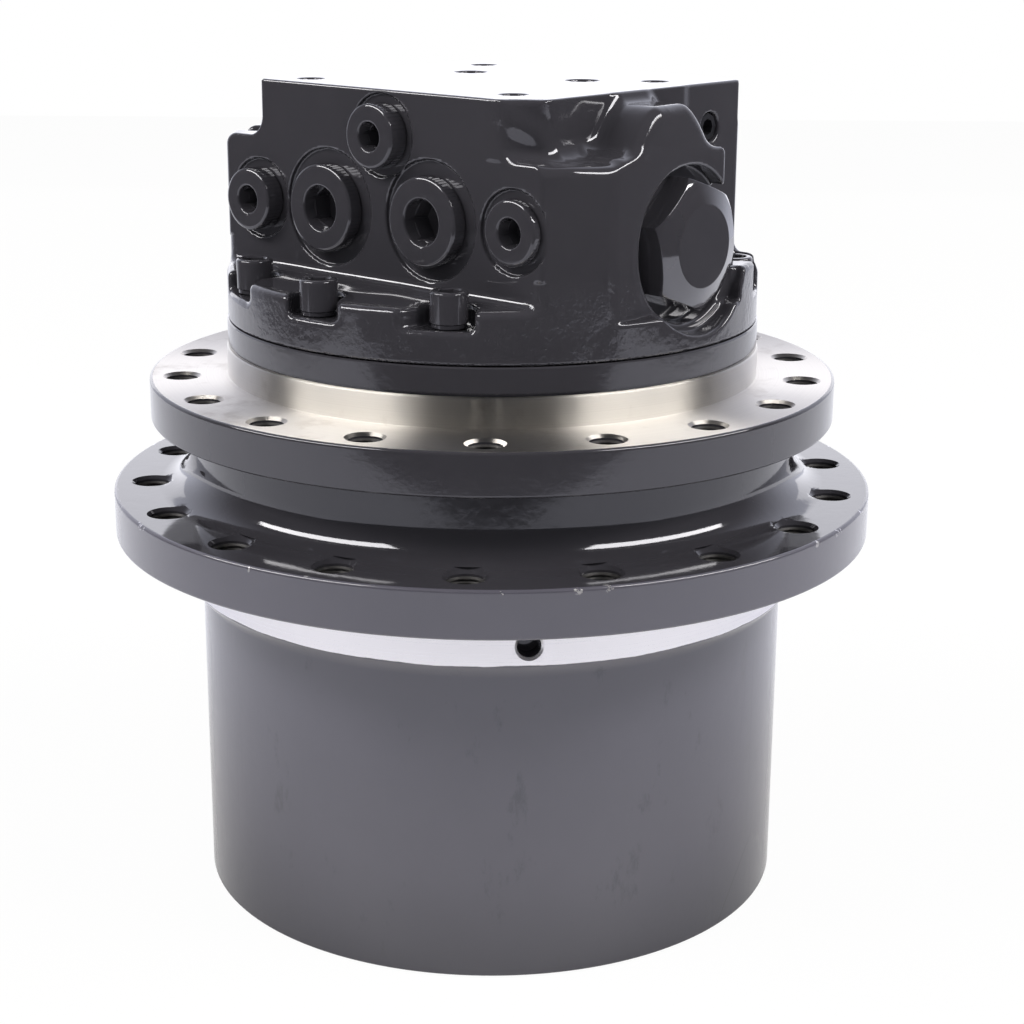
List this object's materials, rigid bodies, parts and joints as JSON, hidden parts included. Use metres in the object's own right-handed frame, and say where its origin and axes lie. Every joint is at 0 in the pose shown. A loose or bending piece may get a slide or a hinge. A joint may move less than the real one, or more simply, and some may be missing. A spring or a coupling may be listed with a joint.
{
  "type": "excavator final drive",
  "caption": "Excavator travel drive: a piston motor housing on a frame flange above a turning hub with a sprocket flange, a drum and a planetary train inside.",
  "frame": {"origin": "on the drive's axis, at the bottom of the drum's rim", "axes": "+Z along the axis towards the motor, -Y towards the face with the five plugs, +X towards the hexagon cap"},
  "size_m": [0.302, 0.302, 0.3214],
  "materials": {
    "gloss_black_paint": "gloss",
    "machined_steel": "satin",
    "hardened_steel": "polished",
    "dark_screw_steel": "gloss",
    "bronze": "satin",
    "rubber": "matte"
  },
  "bodies": {
    "spindle_and_motor_housing": {"spindle": "gloss_black_paint", "carrier_2": "machined_steel", "planet_pin_1": "hardened_steel", "planet_pin_2": "hardened_steel", "planet_pin_3": "hardened_steel", "carrier_screw_1": "dark_screw_steel", "carrier_screw_2": "dark_screw_steel", "carrier_screw_3": "dark_screw_steel", "bearing_inner_lower": "hardened_steel", "bearing_inner_upper": "hardened_steel", "seal_ring_fixed": "hardened_steel", "seal_toric_fixed": "rubber", "motor_housing": "gloss_black_paint", "housing_screw_1": "dark_screw_steel", "housing_screw_2": "dark_screw_steel", "housing_screw_3": "dark_screw_steel", "housing_screw_4": "dark_screw_steel", "housing_screw_5": "dark_screw_steel", "housing_screw_6": "dark_screw_steel", "housing_screw_7": "dark_screw_steel", "housing_screw_8": "dark_screw_steel", "port_plug_1": "dark_screw_steel", "port_plug_2": "dark_screw_steel", "port_plug_3": "dark_screw_steel", "port_plug_4": "dark_screw_steel", "port_plug_5": "dark_screw_steel", "gauge_plug": "dark_screw_steel", "valve_cap_left": "dark_screw_steel", "valve_cap_right": "dark_screw_steel", "valve_plate": "bronze", "shaft_bearing_front": "hardened_steel", "shaft_bearing_rear": "hardened_steel"},
    "hub": {"hub": "gloss_black_paint", "end_cover": "gloss_black_paint", "snap_ring": "hardened_steel", "cover_plug_1": "dark_screw_steel", "cover_plug_2": "dark_screw_steel", "bearing_outer_lower": "hardened_steel", "bearing_outer_upper": "hardened_steel", "seal_ring_turning": "hardened_steel", "seal_toric_turning": "rubber"},
    "first_carrier": {"carrier_1": "machined_steel", "sun_gear_2": "hardened_steel"},
    "motor_shaft": {"motor_shaft": "hardened_steel", "sun_gear_1": "hardened_steel", "cylinder_barrel": "machined_steel", "piston_set": "hardened_steel"},
    "lower_ball_cage": {"ball_cage_lower": "bronze"},
    "upper_ball_cage": {"ball_cage_upper": "bronze"},
    "swash_plate": {"swash_plate": "hardened_steel"},
    "valve_spool": {"valve_spool": "hardened_steel"},
    "first_planet_1": {"planet_gear_1_1": "hardened_steel"},
    "first_planet_2": {"planet_gear_1_2": "hardened_steel"},
    "first_planet_3": {"planet_gear_1_3": "hardened_steel"},
    "second_planet_1": {"planet_gear_2_1": "hardened_steel"},
    "second_planet_2": {"planet_gear_2_2": "hardened_steel"},
    "second_planet_3": {"planet_gear_2_3": "hardened_steel"}
  },
  "joints": [
    {"name": "hub_spin", "type": "hinge", "parent": "spindle_and_motor_housing", "child": "hub", "pos_m": [0, 0, 0.15], "axis": [0, 0, 1], "continuous": true},
    {"name": "carrier_spin", "type": "hinge", "parent": "spindle_and_motor_housing", "child": "first_carrier", "pos_m": [0, 0, 0.0515], "axis": [0, 0, 1], "continuous": true},
    {"name": "shaft_spin", "type": "hinge", "parent": "spindle_and_motor_housing", "child": "motor_shaft", "pos_m": [0, 0, 0.12], "axis": [0, 0, 1], "continuous": true},
    {"name": "first_planet_1_spin", "type": "hinge", "parent": "first_carrier", "child": "first_planet_1", "pos_m": [0.062, 0, 0.035], "axis": [0, 0, 1], "continuous": true},
    {"name": "first_planet_2_spin", "type": "hinge", "parent": "first_carrier", "child": "first_planet_2", "pos_m": [-0.0328, 0.05262, 0.035], "axis": [0, 0, 1], "continuous": true},
    {"name": "first_planet_3_spin", "type": "hinge", "parent": "first_carrier", "child": "first_planet_3", "pos_m": [-0.0328, -0.05262, 0.035], "axis": [0, 0, 1], "continuous": true},
    {"name": "second_planet_1_spin", "type": "hinge", "parent": "spindle_and_motor_housing", "child": "second_planet_1", "pos_m": [0.068, 0, 0.074], "axis": [0, 0, 1], "continuous": true},
    {"name": "second_planet_2_spin", "type": "hinge", "parent": "spindle_and_motor_housing", "child": "second_planet_2", "pos_m": [-0.0358, 0.05781, 0.074], "axis": [0, 0, 1], "continuous": true},
    {"name": "second_planet_3_spin", "type": "hinge", "parent": "spindle_and_motor_housing", "child": "second_planet_3", "pos_m": [-0.0358, -0.05781, 0.074], "axis": [0, 0, 1], "continuous": true},
    {"name": "lower_cage_spin", "type": "hinge", "parent": "spindle_and_motor_housing", "child": "lower_ball_cage", "pos_m": [0, 0, 0.117], "axis": [0, 0, 1], "continuous": true},
    {"name": "upper_cage_spin", "type": "hinge", "parent": "spindle_and_motor_housing", "child": "upper_ball_cage", "pos_m": [0, 0, 0.1516], "axis": [0, 0, 1], "continuous": true},
    {"name": "swash_tilt", "type": "hinge", "parent": "spindle_and_motor_housing", "child": "swash_plate", "pos_m": [0, 0, 0.14259], "axis": [1, 0, 0], "range_deg": [-6, 0]},
    {"name": "spool_slide", "type": "slide", "parent": "spindle_and_motor_housing", "child": "valve_spool", "axis": [1, 0, 0], "range_m": [-0.006, 0.006]}
  ],
  "couplings": [
    {"joint": "carrier_spin", "follows": "hub_spin", "ratio": -2.7778},
    {"joint": "shaft_spin", "follows": "hub_spin", "ratio": -18.519},
    {"joint": "first_planet_1_spin", "follows": "hub_spin", "ratio": 9.9415},
    {"joint": "first_planet_2_spin", "follows": "hub_spin", "ratio": 9.9415},
    {"joint": "first_planet_3_spin", "follows": "hub_spin", "ratio": 9.9415},
    {"joint": "second_planet_1_spin", "follows": "hub_spin", "ratio": 3.125},
    {"joint": "second_planet_2_spin", "follows": "hub_spin", "ratio": 3.125},
    {"joint": "second_planet_3_spin", "follows": "hub_spin", "ratio": 3.125},
    {"joint": "lower_cage_spin", "follows": "hub_spin", "ratio": 0.54447},
    {"joint": "upper_cage_spin", "follows": "hub_spin", "ratio": 0.54447}
  ]
}
